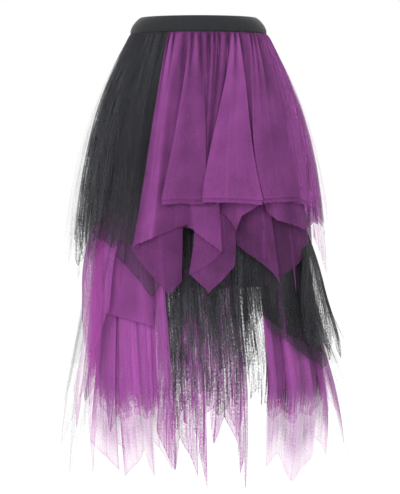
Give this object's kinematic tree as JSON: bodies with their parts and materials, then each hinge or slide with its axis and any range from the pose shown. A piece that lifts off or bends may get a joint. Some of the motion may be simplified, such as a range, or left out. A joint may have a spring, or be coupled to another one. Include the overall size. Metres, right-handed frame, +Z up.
{
  "type": "asymmetric skirt",
  "caption": "Knee-to-midi tulle skirt with an elastic waistband, a slip lining and two tiers of pointed black and purple panels in an uneven handkerchief hem.",
  "frame": {"origin": "middle of the waist opening, at half the waistband's height", "axes": "+Z up along the skirt, -Y towards the skirt's front, +X towards the viewer's right as the front is seen"},
  "size_m": [0.5068, 0.3819, 0.865],
  "materials": {
    "black_elastic": "matte",
    "black_knit": "matte",
    "black_tulle": "matte",
    "purple_tulle": "matte"
  },
  "bodies": {
    "root": {"waistband": "black_elastic", "lining": "black_knit", "upper_black_under": "black_tulle", "upper_black_main": "black_tulle", "upper_black_over": "black_tulle", "upper_purple_under": "purple_tulle", "upper_purple_points": "purple_tulle", "upper_purple_long": "purple_tulle", "upper_purple_short": "purple_tulle", "lower_black_left": "black_tulle", "lower_purple_left_short": "purple_tulle", "lower_purple_left_long": "purple_tulle", "lower_purple_centre": "purple_tulle", "lower_black_centre": "black_tulle", "lower_purple_right": "purple_tulle", "lower_black_right": "black_tulle", "lower_back_purple": "purple_tulle", "lower_back_black": "black_tulle"}
  },
  "joints": []
}
